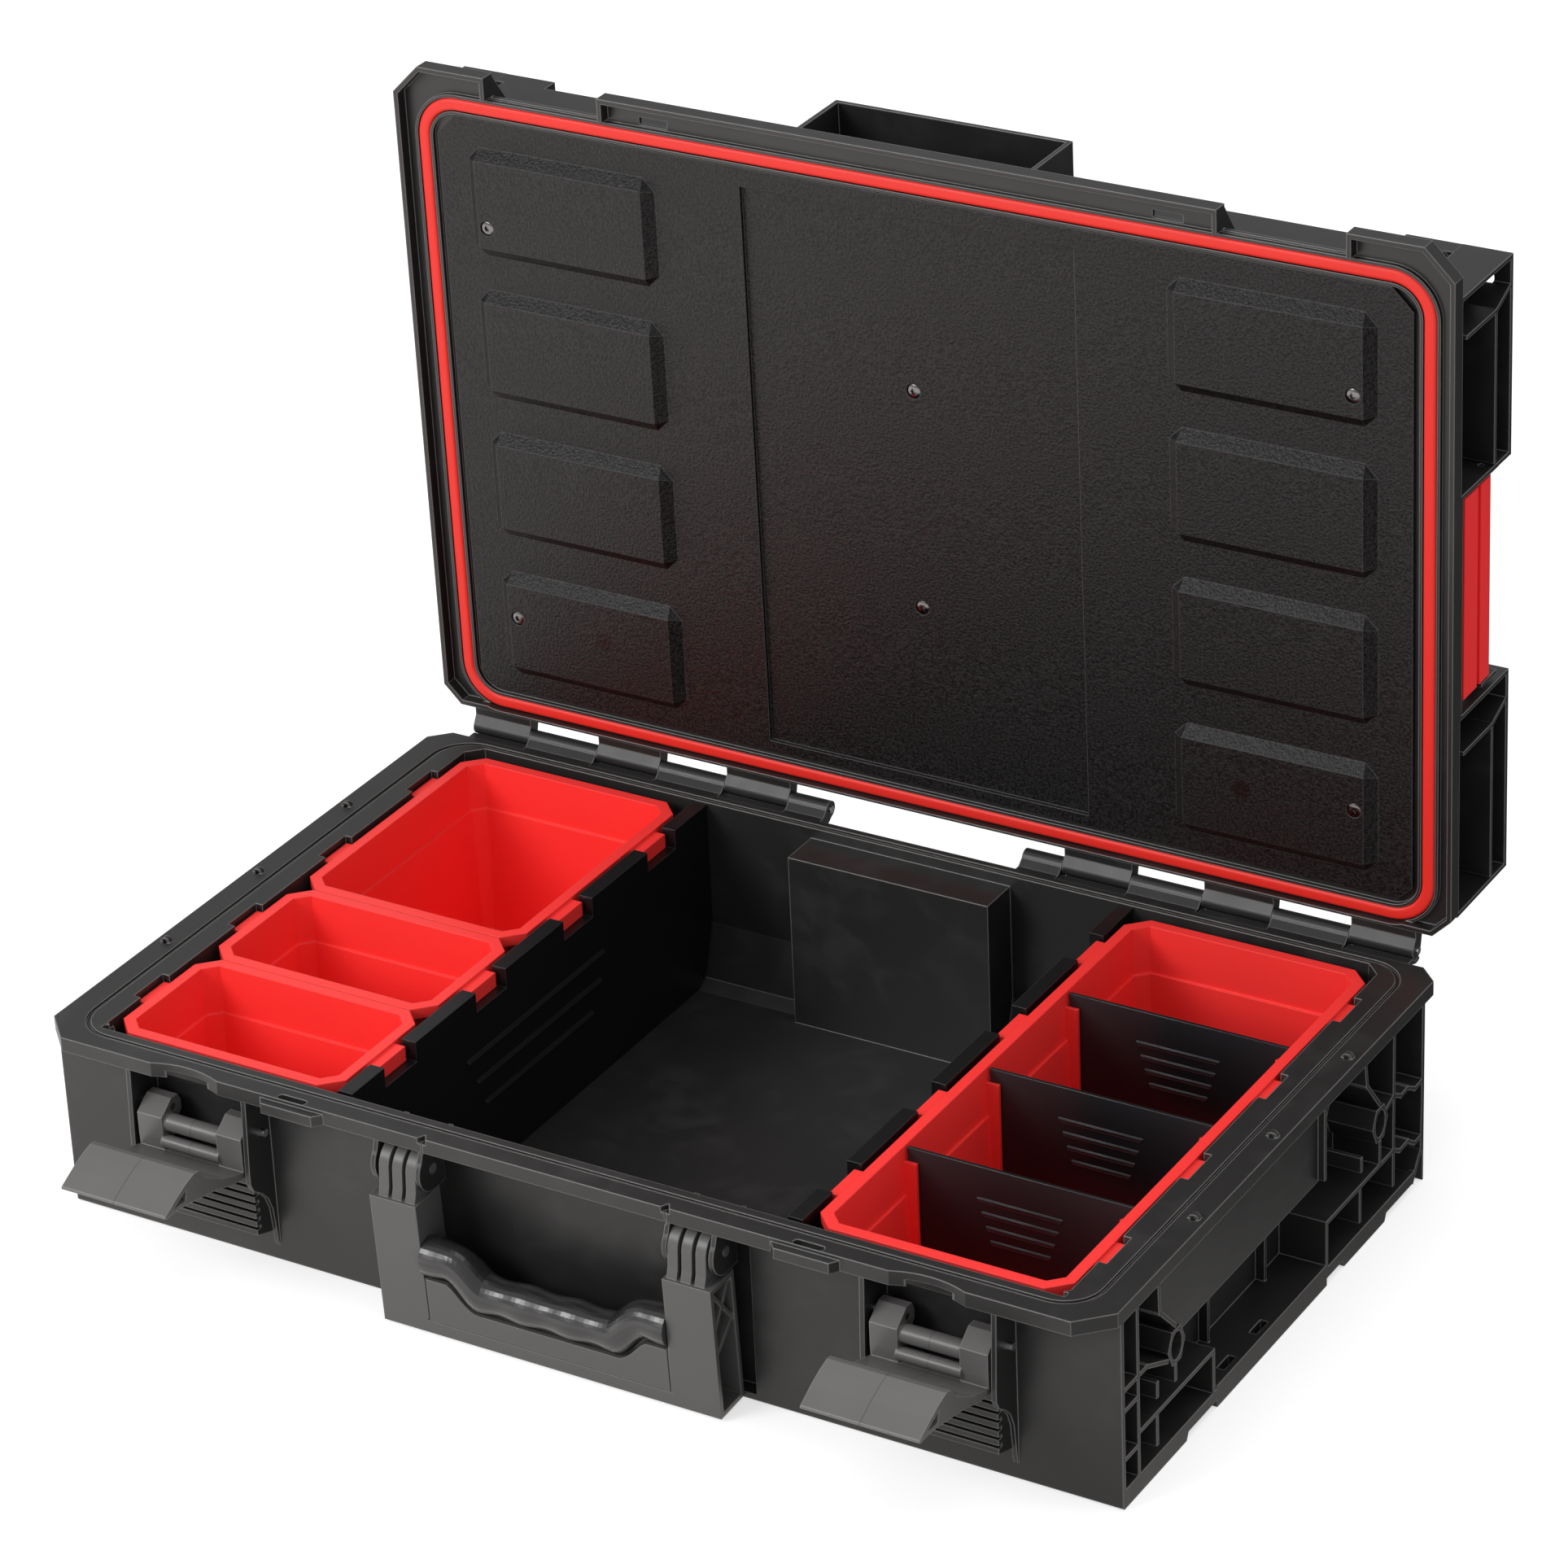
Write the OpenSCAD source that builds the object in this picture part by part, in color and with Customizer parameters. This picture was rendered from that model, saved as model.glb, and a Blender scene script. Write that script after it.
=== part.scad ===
// Hard tool case standing open: moulded base with ribbed sides, hinged lid with
// a seal and a screwed-on liner, two over-centre latches, a folding carry
// handle, two side clips, lift-out bins and loose dividers.
// X runs along the front, Y to the back, Z up. The origin is on the underside,
// at the middle of the width.

/* [Case] */
// Overall width
case_w = 585; // [560:5:610]
// Rim front, measured from the origin
rim_front = 187.4; // [186:0.2:189]
// Rim back, measured from the origin
rim_back = 167.5; // [166:0.5:169]
// Height of the base's deck
base_h = 107; // [106:0.5:108]
// Wall thickness
wall = 2.6; // [2.2:0.1:3]
// Floor thickness
floor_t = 4; // [3:0.5:5]
// Chamfer of the rim's front corners
corner_front = 15.5; // [12:0.5:18]
// Chamfer of the rim's rear corners
corner_back = 10; // [8:0.5:12]

/* [Lid] */
// Angle at which the lid rests open
lid_angle = 89; // [85:1:95]
// Height of the closed case
closed_h = 172; // [170:1:180]
// Lid front edge, measured from the origin
lid_front = 195.4; // [195:0.2:197]
// Width of the seal
seal_w = 7; // [6:0.5:8]

/* [Bins] */
// Length of one bin cell
cell = 80; // [78:0.5:80]
// Gap between a bin's underside and the floor
bin_rise = 2; // [1:0.5:12]
// Bin wall thickness
bin_wall = 2.2; // [1.8:0.1:2.6]

/* [Latches] */
// Distance of each latch from the side of the case
latch_in = 88.5; // [86:0.5:92]
// Diameter of the latch pins
latch_pin_d = 4; // [3.5:0.1:4.5]

/* [Handle] */
// Outer width of the handle
handle_w = 188; // [184:1:192]
// Width of each handle post
post_w = 26; // [25:0.5:27]
// Diameter of the handle pins
handle_pin_d = 5; // [4:0.2:6]
// Distance between the finger swells of the grip
swell_pitch = 26; // [22:1:30]

/* [Fits] */
// Radial clearance of a pin in its bore
pin_fit = 0.05; // [0.03:0.01:0.1]
// Gap between pieces that slide or lie beside each other
gap = 0.3; // [0.25:0.05:0.4]

/* [Hidden] */
$fn = 48;
e = 0.01;
hw = case_w / 2;
wall_y = -(rim_front - 17.9);        // outer face of the front wall
back_y = rim_back - 5.5;             // outer face of the back wall
tub_x = hw - 24.9;                   // outer face of the tub's side walls
body_back = back_y - 14;             // where the sides end at the back
deck_t = 4;
skirt = 7.7;                         // height of the rim's outer skirt
skirt_z = base_h - skirt;
step_z = base_h - 12;                // ledge under the rim, on which the bins' rims lie
groove_w = 2.4;
seal_front = -(rim_front - 10.9);
seal_back = rim_back - 5;
seal_x = hw - 14.2;
seal_r = 20;
rib_t = 2.2;
foot_h = 10;                         // solid edge under the ribbed bays
panel_y = [-132.7, 37];
panel_z = [61, skirt_z + 3];
panel_in = 3.5;                      // how far the panel lies back from the side
lock_x = hw - 150.5;                 // middle of each padlock slot

recess_x = handle_w / 2 + 9;         // wall recess behind the handle
recess_d = 8;

part_x = 120;                        // inner face of the partitions
part_t = 8;
part_z = base_h - 1;
notch_w = 27;
notch_z = base_h - 11.7;
cells_y = [for (i = [0:3]) rim_back - 173.5 + (i - 2) * cell];   // front edge of each cell
cell_mid = [for (y = cells_y) y + cell / 2];
bin_x = part_x + part_t + 3;         // inner edge of the bins
bin_w = tub_x - wall - 2.5 - bin_x;
bin_z1 = base_h - 2;
bin_z0 = floor_t + bin_rise;
bin_rim = 6;
boss_x = 58;                         // hollow boss inside the back wall
boss_y = 136;
bin_lip = 4;                         // overhang of a bin's rim past its wall
draft = 3.5;
bin_c = 10;
lug_z = [notch_z + gap, bin_z1 - 1.5];
lug_w = 23.5;

hinge_y = rim_back + 11;
hinge_z = base_h + 1.7;
hinge_r = 4.5;
hinge_pin_d = 4;
lid_leaves = [for (d = [[212.5, 174], [134, 95.5], [53.5, 18.5]]) [hw - d[0], hw - d[1]]];
base_leaves = [for (d = [[235.5, 212.5], [174, 134], [95.5, 53.5]]) [hw - d[0], hw - d[1]]];

lid_z0 = base_h + gap;
lid_plate_z = base_h + 6.6;          // underside of the lid's flange
lid_plate_t = 2.4;
lid_back = rim_back;
lid_wall_y = wall_y;
lid_top = closed_h - 9.4;
seal_z = base_h + 3.7;
liner_z = base_h + 4;
liner_t = 2.4;
pad_h = 3.5;
liner_x = hw - 22.5;
liner_y = [seal_front + seal_w / 2 + 1.8 + gap, lid_back - 13.5];
recess_lid = [92.5, -160.7, 147.5];
pads_y = [[-156, -97], [-78, -17.5], [2, 61], [82, 142]];
pads_x = [hw - 150.5, hw - 40.5];
screw_x = hw - 51.5;
screws = [[-screw_x, -114], [screw_x, -114], [-screw_x, 107], [screw_x, 107], [0, -67], [0, 52]];
catch_y = -183;
hood_x = 64.6;
hood_y = 4 - lid_front;

latch_x = hw - latch_in;
latch_y = -(rim_front - 9.9);
latch_z = base_h - 29;
cheek = [32.6, 35.2];
lever_hw = 30.5;
ear_in = 16;                         // inner face of a lever's ears
seat_z = 55.5;                       // top of the louvred block under each latch
pocket_y = wall_y + wall;            // the front wall sits back behind each latch

handle_y = -180;
handle_z = 87;
post_in = handle_w / 2 - post_w;
post_top = 73;
post_front = -195;
post_d = 21;                         // depth of the posts, front to back
post_h = 72;
post_lean = 3.2;                     // degrees by which the handle hangs towards the case
knuckle_r = 11;
knuckle_w = 5.4;
knuckles = [for (i = [0:2]) post_in + 1.5 + 7.55 * i];
lug_t = 2.5;                         // lugs of the base, one each side of the knuckles
lugs_x = [knuckles[0] - gap - lug_t, knuckles[2] + knuckle_w + gap + 1.5];
grip_r = 9.4;
grip_in = 6;                         // grip's centre, behind the handle's front face
grip_low = -43.5;                    // centre height of the grip, from the posts' top
grip_rise = 13;                      // how much the grip climbs to its ends
core_t = 3;

clip_y = [-64, 43];
clip_z = [lid_plate_z + 8.4, closed_h - 18];
clip_axis = [hw - 6, closed_h - 21];
clip_pin_r = 1.5;

black = [0.13, 0.13, 0.14];
dark = [0.09, 0.09, 0.1];
red = [0.93, 0.13, 0.1];
steel = [0.75, 0.76, 0.78];

// ---- helpers ---------------------------------------------------------------

module span(x, y, z)
    translate([x[0], y[0], z[0]]) cube([x[1] - x[0], y[1] - y[0], z[1] - z[0]]);

// a (y, z) outline run along X
module along_x(x0, x1)
    translate([x0, 0, 0]) rotate([90, 0, 90]) linear_extrude(x1 - x0) children();

// an (x, z) outline run along Y
module along_y(y0, y1)
    translate([0, y1, 0]) rotate([90, 0, 0]) linear_extrude(y1 - y0) children();

module rod_x(x0, x1, y, z, r)
    translate([x0, y, z]) rotate([0, 90, 0]) cylinder(r = r, h = x1 - x0);

module both() {
    children();
    mirror([1, 0, 0]) children();
}

// rectangle with 45 degree corners, a at the front and b at the back
function cut_rect(x, y, a, b) = [
    [x[0] + a, y[0]], [x[1] - a, y[0]], [x[1], y[0] + a], [x[1], y[1] - b],
    [x[1] - b, y[1]], [x[0] + b, y[1]], [x[0], y[1] - b], [x[0], y[0] + a]];

// the same outline moved inwards by i, with walls of even thickness
function inset_rect(x, y, a, b, i) = cut_rect([x[0] + i, x[1] - i], [y[0] + i, y[1] - i],
    a - i * (2 - sqrt(2)), b - i * (2 - sqrt(2)));

module round_rect(x, y, r) {
    square_y = [y[0] + r, y[1] - r];
    translate([x[0], square_y[0]]) square([x[1] - x[0], square_y[1] - square_y[0]]);
    translate([x[0] + r, y[0]]) square([x[1] - x[0] - 2 * r, y[1] - y[0]]);
    for (cx = [x[0] + r, x[1] - r], cy = square_y) translate([cx, cy]) circle(r);
}

// ring along the seal's centre line, w wide
module seal_ring(w) difference() {
    round_rect([-seal_x - w / 2, seal_x + w / 2], [seal_front - w / 2, seal_back + w / 2], seal_r + w / 2);
    round_rect([-seal_x + w / 2, seal_x - w / 2], [seal_front + w / 2, seal_back - w / 2], seal_r - w / 2);
}

// rib between two points of an outline plane
module rib(p, q, t = rib_t) {
    d = q - p;
    translate(p) rotate(atan2(d[1], d[0])) translate([-t / 2, -t / 2]) square([norm(d) + t, t]);
}

module rib_path(pts, t = rib_t)
    for (i = [0:len(pts) - 2]) rib(pts[i], pts[i + 1], t);

module hex_ring(p, r, t) translate(p) difference() {
    polygon([for (i = [0:5]) [r * 0.8 * cos(60 * i), r * sin(60 * i)]]);
    scale([0.75, 1]) circle(r - t);
}

// lid pieces are drawn closed and swung open about the hinge
module opened()
    translate([0, hinge_y, hinge_z]) rotate([-lid_angle, 0, 0]) translate([0, -hinge_y, -hinge_z]) children();

// ---- base --------------------------------------------------------------------

function body_pts(i = 0) = [[-hw + i, wall_y + i], [hw - i, wall_y + i], [hw - i, body_back - i],
    [hw - 14.5 - i / 2, back_y - i], [-hw + 14.5 + i / 2, back_y - i], [-hw + i, body_back - i]];

// ribs of one side, in the (y, z) plane
module side_ribs_2d() {
    yb = body_back;
    f = wall_y + wall - 1;
    deck = skirt_z + 3;
    low = foot_h - rib_t / 2;
    // rear edge, then the front bays
    rib_path([[yb - 12, 5], [yb - 2.3, 18.6], [yb - 1.3, 46], [yb - 1.3, deck]], wall);
    rib([-153.5, low], [-153.5, deck]);
    for (z = [26, 52]) rib([f, z], [-153.5, z]);
    // front bays round the ring
    hex_ring([-116, 57.5], 10.5, 3.2);
    rib([-117, 47], [-117, 40]);
    rib_path([[f, 63], [-145, 63], [-125, 54]]);
    rib_path([[panel_y[0], deck], [panel_y[0] + 1, 84], [-117, 69]]);
    rib([-135, 41.5], [-135, 48]);
    // front pocket over the foot
    rib_path([[-153.5, 32.5], [-79, 32.5], [-79, low]]);
    rib([-135.5, 16], [-135.5, 32.5]);
    rib([f, low], [-79, low]);
    // rear bays round the ring
    rib([panel_y[1] + 1, panel_z[0]], [panel_y[1] + 1, deck]);
    hex_ring([98.4, 58.5], 10.5, 3.2);
    rib([98.4, 48], [98.4, 36]);
    rib_path([[81.7, deck], [83.8, 87], [97.5, 70]]);
    rib_path([[106, 63], [113.8, 66], [122, 61.5], [129, 62], [138, 57], [yb - 1.3, 57.5]]);
    rib([113.8, 16], [113.8, deck]);
    rib([78, 43.5], [78, 49.5]);
    // rear pocket over the foot
    rib_path([[113.8, 35], [121, 31], [130, 31.5], [138, 26], [yb - 1.3, 26]]);
    rib_path([[113.8, 35], [40, 35], [40, low], [yb - 13, low]]);
    rib([76.5, 16], [76.5, 35]);
}

// everything outside the tub on the right: bays, panel, feet
module side_frame() {
    along_x(tub_x - 1, hw) side_ribs_2d();
    // plain centre panel with its return
    along_x(hw - panel_in - wall, hw - panel_in) polygon([[panel_y[0], panel_z[1]], [panel_y[0], 84],
        [-117, 68], [-108, panel_z[0]], [panel_y[1] + 1, panel_z[0]], [panel_y[1] + 1, panel_z[1]]]);
    span([tub_x - 1, hw - panel_in], [-108, panel_y[1] + 1], [panel_z[0] - rib_t, panel_z[0]]);
    for (y = [-45, 14.5]) span([tub_x - 1, tub_x + 5], [y - 1, y + 1], [foot_h, panel_z[0]]);
    // flange between the two corner feet, with two slots in its top
    difference() {
        span([tub_x - 1, hw], [-76, 40], [0, foot_h + 1.7]);
        for (y = [-56.5, -23]) span([hw - 7, hw - 3], [y - 6, y + 6], [foot_h - 4, foot_h + 3]);
    }
    // solid edge under the bays, cut up behind the front foot and round the rear foot
    along_x(hw - wall, hw) polygon([[wall_y + 1, 0], [-107, 0], [-105, 4], [-76, 4], [-76, foot_h], [wall_y + 1, foot_h]]);
    along_x(hw - wall, hw) polygon([[40, 4], [57, 4], [59, 0], [104, 0], [106, 4], [body_back - 12, 4],
        [body_back - 9, foot_h], [40, foot_h]]);
    span([tub_x - 1, hw - 1], [wall_y + 1, -107], [0, wall]);
    span([tub_x - 1, hw - 1], [59, 104], [0, wall]);
    span([tub_x - 1, hw - 1], [-107, -76], [4, 4 + wall]);
    for (y = [[40, 59], [104, body_back - 12]]) span([tub_x - 1, hw - 1], y, [4, 4 + wall]);
}

module tub_outline(i) polygon(cut_rect([-tub_x + i, tub_x - i], [wall_y + i, back_y - i], 6, 8));

// comb outline of the louvred block under each latch
louvre_pitch = 4.65;
function louvre_pts(n, z0, yb, yf, d) = concat([[yb, z0 - 6]],
    [for (i = [0:n - 1], p = [[yf, 0], [yf, 3], [yf + d, 3], [yf + d, louvre_pitch]])
        [p[0], z0 + i * louvre_pitch + p[1]]],
    [[yf, z0 + n * louvre_pitch], [yf, seat_z - 1], [yf + 1, seat_z], [yb, seat_z]]);

module latch_seat() {
    // two cheeks with an S-shaped front edge
    for (s = [-1, 1]) along_x(s < 0 ? -cheek[1] : cheek[0], s < 0 ? -cheek[0] : cheek[1])
        polygon([[pocket_y + 1, 2], [wall_y + 2, 6], [-170.5, 11], [-173, 32], [-176, 39.5], [-180.5, 44.5],
            [-186.5, 49], [-188.6, 53.5], [-188.6, 60], [-186.9, skirt_z + 1], [pocket_y + 1, skirt_z + 1]]);
    along_x(-cheek[0] - 0.5, cheek[0] + 0.5)
        polygon(louvre_pts(6, 22, pocket_y + 1, -184, 3));
}

// lugs that carry the handle pins
module handle_lugs() {
    for (x = lugs_x) {
        rod_x(x, x + lug_t, handle_y, handle_z, knuckle_r + 0.5);
        along_x(x, x + lug_t) polygon([[wall_y + recess_d + 1, 77], [handle_y, 75.5],
            [handle_y - knuckle_r - 0.5, handle_z], [handle_y - 7, skirt_z + 1], [wall_y + recess_d + 1, skirt_z + 1]]);
    }
}

// arm and barrel that reach from the back rim to the hinge axis
module base_leaf(x0, x1) {
    along_x(x0, x1) polygon([[rim_back - 3, skirt_z], [rim_back - 3, base_h], [rim_back + 3, base_h],
        [hinge_y - 3.5, hinge_z + 2], [hinge_y + 1, hinge_z - 4.4], [hinge_y - 6, skirt_z]]);
    rod_x(x0, x1, hinge_y, hinge_z, hinge_r);
}

module padlock_tab() translate([0, -rim_front + 1, skirt_z])
    linear_extrude(skirt - 2) polygon([for (p = [[-20, 0], [18, 0], [14, -5.5], [-15, -5.5]]) [lock_x + p[0], p[1]]]);

module base_shell() color(black) difference() {
    union() {
        linear_extrude(floor_t) tub_outline(0);
        difference() {
            linear_extrude(base_h - 1) tub_outline(0);
            translate([0, 0, -e]) linear_extrude(base_h) tub_outline(wall);
        }
        // front wall over the full width and the chamfered rear corners
        difference() {
            linear_extrude(base_h - 1) polygon(body_pts());
            translate([0, 0, -1]) linear_extrude(base_h + 2) polygon(body_pts(wall));
            both() span([tub_x, hw + 1], [wall_y + wall, body_back - 1], [-1, base_h]);
        }
        both() side_frame();
        // rim: deck with a skirt round it and the ledge that steps in below
        translate([0, 0, base_h - deck_t]) linear_extrude(deck_t)
            polygon(cut_rect([-hw, hw], [-rim_front, rim_back], corner_front, corner_back));
        difference() {
            translate([0, 0, skirt_z]) linear_extrude(skirt)
                polygon(cut_rect([-hw, hw], [-rim_front, rim_back], corner_front, corner_back));
            translate([0, 0, skirt_z - 1]) linear_extrude(skirt + 2)
                polygon(inset_rect([-hw, hw], [-rim_front, rim_back], corner_front, corner_back, wall));
        }
        span([-tub_x, tub_x], [wall_y - 3.6, wall_y + wall], [step_z - wall, base_h - 1]);
        both() for (y = cell_mid) span([tub_x - wall, tub_x + 4], [y - 15, y + 15], [notch_z - wall, base_h - 1]);
        both() translate([latch_x, 0, 0]) latch_seat();
        both() handle_lugs();
        both() for (l = base_leaves) base_leaf(l[0], l[1] - gap);
        both() padlock_tab();
        // hollow boss inside the back wall
        span([-boss_x, boss_x], [boss_y, back_y - 1], [floor_t - 1, base_h - 6]);
        // ramp along the floor at the back, over the bevel outside
        along_x(-tub_x + 1, tub_x - 1) polygon([[back_y - wall - 17, floor_t - e], [back_y - wall - 9, floor_t + 3.5],
            [back_y - wall + e, 36], [back_y - wall + e, floor_t - e]]);
        // three small arches on each side rim
        both() for (y = cells_y) if (y > cells_y[0]) translate([hw - 5.8, y + 1.5, base_h - 0.5]) rotate([90, 0, 0])
            cylinder(r = 2.9, h = 3);
        // pocket walls behind the handle and the latches
        span([-recess_x, recess_x], [wall_y, wall_y + recess_d + wall], [floor_t - 1, step_z - wall + 1]);
        both() span([latch_x - cheek[1], latch_x + cheek[1]], [wall_y, pocket_y + wall], [seat_z - 3, step_z]);
    }
    // hollow under each arch
    both() for (y = cells_y) if (y > cells_y[0]) translate([hw - 5.8, y + 3, base_h]) rotate([90, 0, 0])
        cylinder(r = 1.3, h = 6);
    // room for the handle's knuckles
    both() rod_x(knuckles[0] - gap, lugs_x[1], handle_y, handle_z, knuckle_r + gap);
    // opening of the deck, and the step over the front ledge
    translate([0, 0, base_h - deck_t - e]) linear_extrude(base_h)
        polygon(cut_rect([-tub_x + wall, tub_x - wall], [wall_y - 1, back_y - wall], 6, 8));
    span([-tub_x + wall, tub_x - wall], [wall_y - 1, wall_y + wall + e], [step_z, base_h]);
    // groove of the seal
    translate([0, 0, base_h - 1.6]) linear_extrude(3) seal_ring(groove_w);
    // notches that hold the bins' lugs on the outer ledges
    both() for (y = cell_mid) span([tub_x - wall - 1, tub_x + 1.4], [y - 12, y + 12], [notch_z, base_h + 1]);
    // recess behind the handle, hollow boss, latch pockets
    span([-recess_x + wall, recess_x - wall], [wall_y - 1, wall_y + recess_d], [floor_t, step_z - wall]);
    span([-boss_x + wall, boss_x - wall], [boss_y + wall, back_y + 1], [-1, base_h - 6 - wall]);
    both() span([latch_x - cheek[0], latch_x + cheek[0]], [wall_y - 3, pocket_y], [seat_z, step_z]);
    // shallow arc in the rim above each latch
    both() translate([latch_x, -rim_front - 46, skirt_z - 1]) cylinder(r = 50, h = skirt + 2, $fn = 120);
    // padlock slots
    both() translate([lock_x, -rim_front + 2.5, skirt_z - 1]) linear_extrude(skirt + 2) {
        square([12, 4], center = true);
        for (x = [-6, 6]) translate([x, 0]) circle(2);
    }
    // small notches in the rim's front edge, and the line under each
    both() translate([67, -rim_front - 1, base_h - 3]) linear_extrude(4) polygon([[-3, 0], [3, 0], [0, 5]]);
    both() span([66.6, 67.4], [-rim_front - 1, -rim_front + 0.6], [skirt_z - 1, base_h]);
    // bores for the pins
    both() rod_x(latch_x - cheek[1] - 1, latch_x + cheek[1] + 1, latch_y, latch_z, latch_pin_d / 2 + pin_fit);
    both() rod_x(lugs_x[0] - 1, lugs_x[1] + lug_t + 1, handle_y, handle_z, handle_pin_d / 2 + pin_fit);
    both() rod_x(base_leaves[0][0] - 7, hw - 12.5, hinge_y, hinge_z, hinge_pin_d / 2 + pin_fit);
    // bevel along the bottom of the front and the back
    along_x(-hw - 1, hw + 1) polygon([[wall_y - 1, -1], [wall_y + 2, -1], [wall_y - 1, 2]]);
    along_x(-hw - 1, hw + 1) polygon([[back_y + 1, -1], [back_y - 9, -1], [back_y + 1, 30]]);
}

// ---- partitions ----------------------------------------------------------------

module partition() color(dark) {
    front = wall_y + wall + gap;
    back = back_y - wall - gap;
    difference() {
        span([part_x, part_x + part_t], [front, back], [floor_t, part_z]);
        // hollow from the outer side, so the wall stays thin
        span([part_x + wall, part_x + part_t - wall], [front + wall, back - 20], [floor_t - 1, notch_z - wall]);
        // lower rear corner, over the tub's ramp
        along_x(part_x - 2, part_x + part_t + 1) polygon([[back_y - wall - 20, floor_t - 1], [back_y - wall - 10.5, floor_t + 4.5],
            [back_y - wall - 0.5, 39], [back_y, 39], [back_y, floor_t - 1]]);
        for (y = cell_mid) span([part_x - 1, part_x + part_t + 1], [y - notch_w / 2, y + notch_w / 2], [notch_z, base_h]);
    }
    for (r = [[72, -71, 54], [57.5, -64, 50], [43, -58, 41]])
        along_y(r[1], r[2]) polygon([[part_x - 1.6, r[0]], [part_x + e, r[0] - 1.4], [part_x + e, r[0] + 1.4]]);
}

// ---- bins ----------------------------------------------------------------------

// outline that tapers from z1 down to z0
module drafted(x, y, i, z0, z1) hull() {
    translate([0, 0, z1 - e]) linear_extrude(e) polygon(inset_rect(x, y, bin_c, bin_c, i));
    translate([0, 0, z0]) linear_extrude(e) polygon(inset_rect(x, y, bin_c, bin_c, i + draft));
}

// one bin, n cells long, with its front edge at y0 and its inner edge at bin_x
module bin_body(y0, n) {
    x = [bin_x, bin_x + bin_w];
    y = [y0 + gap, y0 + n * cell - gap];
    difference() {
        union() {
            translate([0, 0, bin_z1 - bin_rim]) linear_extrude(bin_rim) polygon(inset_rect(x, y, bin_c, bin_c, 0));
            drafted(x, y, bin_lip, bin_z0, bin_z1 - bin_rim + e);
            for (i = [0:n - 1]) {
                c = y0 + (i + 0.5) * cell;
                span([x[0] - 6, x[0] + bin_lip + 1], [c - lug_w / 2, c + lug_w / 2], lug_z);
                span([x[1] - bin_lip - 1, x[1] + 5.2], [c - lug_w / 2 + 1, c + lug_w / 2 - 1], lug_z);
            }
        }
        drafted(x, y, bin_lip + bin_wall, bin_z0 + bin_wall, bin_z1 + e);
        // step inside the upper third
        translate([0, 0, bin_z1 - 26]) linear_extrude(30) polygon(inset_rect(x, y, bin_c, bin_c, bin_lip + bin_wall - 0.4));
    }
}

divider_t = 2;
slot_t = divider_t + 2 * gap;

module bin_left(i, n) color(red) mirror([1, 0, 0]) bin_body(cells_y[i], n);

module bin_long() color(red) {
    bin_body(cells_y[0], 4);
    // pairs of upright ribs that hold the dividers
    for (i = [1:3], s = [-1, 1], x = [bin_x + bin_lip + 1.5, bin_x + bin_w - bin_lip - 1.5 - 7])
        span([x, x + 7], [cells_y[i] + s * (slot_t / 2 + 1) - 1, cells_y[i] + s * (slot_t / 2 + 1) + 1],
            [bin_z0 + 1, bin_z1 - 8]);
}

module divider(i) color(dark) {
    y = cells_y[i];
    x0 = bin_x + bin_lip + bin_wall + gap;
    x1 = bin_x + bin_w - bin_lip - bin_wall - gap;
    along_y(y - divider_t / 2, y + divider_t / 2)
        polygon([[x0 + draft + 0.3, bin_z0 + bin_wall + gap], [x1 - draft - 0.3, bin_z0 + bin_wall + gap],
            [x1, bin_z1 - 1], [x0, bin_z1 - 1]]);
    // raised bars on the front face
    for (k = [0:3]) along_y(y - divider_t / 2 - 0.8, y - divider_t / 2 + e) {
        m = (x0 + x1) / 2;
        z = bin_z1 - 22 - 9 * k;
        w = 30 - 3 * k;
        polygon([[m - w, z], [m + w, z], [m + w - 1, z - 2], [m - w + 1, z - 2]]);
    }
}

// ---- pins ------------------------------------------------------------------------

// two short pins, one through each cheek and ear
module latch_pin(s) color(steel) for (d = [-1, 1]) {
    x0 = s * latch_x + (d > 0 ? ear_in : -cheek[1] - 3.5);
    rod_x(x0, x0 + cheek[1] + 3.5 - ear_in, latch_y, latch_z, latch_pin_d / 2);
}

module handle_pin(s) color(steel) {
    x0 = lugs_x[0] - 0.3;
    x1 = lugs_x[1] + lug_t + 0.3;
    rod_x(s > 0 ? x0 : -x1, s > 0 ? x1 : -x0, handle_y, handle_z, handle_pin_d / 2);
}

module hinge_pin(s) color(steel)
    rod_x(s > 0 ? base_leaves[0][0] - 1 : 17.5 - hw, s > 0 ? hw - 17.5 : 1 - base_leaves[0][0], hinge_y, hinge_z,
        hinge_pin_d / 2);

// ---- lid -------------------------------------------------------------------------

module lid_leaf(x0, x1) {
    along_x(x0, x1) polygon([[lid_back - 1, lid_plate_z + lid_plate_t], [hinge_y + 1, hinge_z + 4.4],
        [hinge_y - 2, hinge_z - 4], [hinge_y - 7, base_h + 0.6], [lid_back - 1, base_h + 0.6]]);
    rod_x(x0, x1, hinge_y, hinge_z, hinge_r);
}

// ribs of one side housing, in the (y, z) plane
module lid_side_2d() {
    z0 = lid_plate_z + 2;
    z1 = closed_h - 1.1;
    for (h = [[lid_wall_y + 1, clip_y[0] - 3], [clip_y[1] + 3 + 4, lid_back - 10]]) {
        rib_path([[h[0], z0], [h[0], z1], [h[1], z1], [h[1], z0]]);
        rib_path([[h[0] + 21, z0 + 6], [h[0] + 21, z0 + 38], [h[1] - 3, z0 + 38]], 2);
        rib([h[0] + 21, z0 + 38], [h[0] + 14, z1], 2);
    }
    rib([clip_y[0] - 3, z0 + 1], [clip_y[1] + 7, z0 + 1]);
}

module lid_wall_outline(i)
    polygon(cut_rect([-tub_x + i, tub_x - i], [lid_wall_y + i, lid_back - 8 - i], 6, 8));

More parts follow.
